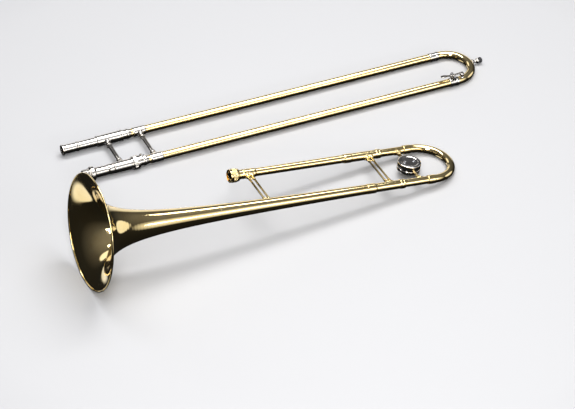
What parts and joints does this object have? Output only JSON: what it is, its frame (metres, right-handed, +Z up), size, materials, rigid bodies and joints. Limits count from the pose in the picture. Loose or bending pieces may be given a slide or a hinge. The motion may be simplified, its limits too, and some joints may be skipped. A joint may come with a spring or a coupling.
{
  "type": "tenor trombone",
  "caption": "Straight tenor trombone taken apart: bell section with tuning slide and balance weight, and a telescoping hand slide with slide lock and water key.",
  "frame": {"origin": "centre of the bounding box in plan, at the floor both sections lie on", "axes": "+Z up, +X from the bell's rim to the slide's bow, +Y from the bell to the hand slide"},
  "size_m": [0.9078, 0.4548, 0.2023],
  "materials": {
    "lacquered_brass": "polished brass under clear gold lacquer",
    "nickel_silver": "polished nickel silver",
    "steel": "bright steel",
    "cork": "matt cork",
    "rubber": "matt black rubber"
  },
  "bodies": {
    "bell_section": {"bell_rim": "lacquered_brass", "bell_flare": "lacquered_brass", "bell_stem": "lacquered_brass", "bell_ferrule": "lacquered_brass", "bell_tuning_sleeve": "lacquered_brass", "neck_tenon": "lacquered_brass", "neckpipe": "lacquered_brass", "neck_ferrule": "lacquered_brass", "neck_tuning_sleeve": "lacquered_brass", "front_brace": "lacquered_brass", "front_flange_neck": "lacquered_brass", "front_flange_bell": "lacquered_brass", "rear_brace": "lacquered_brass", "rear_flange_neck": "lacquered_brass", "rear_flange_bell": "lacquered_brass"},
    "lock_nut": {"bell_lock_nut": "lacquered_brass"},
    "tuning_slide": {"tuning_crook": "lacquered_brass", "tuning_leg_neck": "lacquered_brass", "tuning_leg_bell": "lacquered_brass", "tuning_ferrule_neck": "lacquered_brass", "tuning_ferrule_bell": "lacquered_brass", "balance_brace": "lacquered_brass", "balance_weight_upper": "nickel_silver", "balance_weight_lower": "nickel_silver", "weight_screw_front": "steel", "weight_screw_rear": "steel"},
    "inner_slide": {"mouthpiece_receiver": "nickel_silver", "leadpipe": "lacquered_brass", "slide_receiver": "nickel_silver", "inner_tube_upper": "nickel_silver", "inner_tube_lower": "nickel_silver", "stocking_upper": "nickel_silver", "stocking_lower": "nickel_silver", "cork_barrel_upper": "nickel_silver", "cork_barrel_lower": "nickel_silver", "barrel_cork_upper": "cork", "barrel_cork_lower": "cork", "grip_brace": "nickel_silver"},
    "slide_lock": {"slide_lock_ring": "nickel_silver"},
    "outer_slide": {"outer_tube_upper": "lacquered_brass", "outer_tube_lower": "lacquered_brass", "top_ferrule_upper": "nickel_silver", "top_ferrule_lower": "nickel_silver", "lock_stud": "nickel_silver", "hand_brace": "nickel_silver", "hand_flange_upper": "nickel_silver", "hand_flange_lower": "nickel_silver", "bow_ferrule_upper": "nickel_silver", "bow_ferrule_lower": "nickel_silver", "slide_bow": "lacquered_brass", "end_knob": "nickel_silver", "end_tip": "rubber", "water_key_nipple": "nickel_silver", "water_key_saddle": "nickel_silver", "water_key_screw": "steel", "water_key_spring": "steel"},
    "water_key": {"water_key_lever": "nickel_silver", "water_key_cork": "cork"}
  },
  "joints": [
    {"name": "hand_slide", "type": "slide", "parent": "inner_slide", "child": "outer_slide", "axis": [1, 0, -0.0062], "range_m": [0, 0.57]},
    {"name": "water_key", "type": "hinge", "parent": "outer_slide", "child": "water_key", "pos_m": [0.37312, 0.1321, 0.02256], "axis": [0, -1, 0], "range_deg": [0, 16], "stiffness_Nm_per_rad": 0.02, "springref_deg": -20.05},
    {"name": "slide_lock", "type": "hinge", "parent": "inner_slide", "child": "slide_lock", "pos_m": [-0.25695, 0.1321, 0.0125], "axis": [-1, 0, 0.0062], "range_deg": [0, 40]},
    {"name": "tuning_slide", "type": "slide", "parent": "bell_section", "child": "tuning_slide", "axis": [0.9915, 0, -0.1304], "range_m": [0, 0.045]},
    {"name": "lock_nut", "type": "hinge", "parent": "bell_section", "child": "lock_nut", "pos_m": [-0.13503, -0.02546, 0.05761], "axis": [0.9915, 0, -0.1304], "continuous": true},
    {"name": "lift_off", "type": "slide", "parent": "bell_section", "child": "inner_slide", "axis": [0, 0, 1], "range_m": [0, 0.3]}
  ]
}
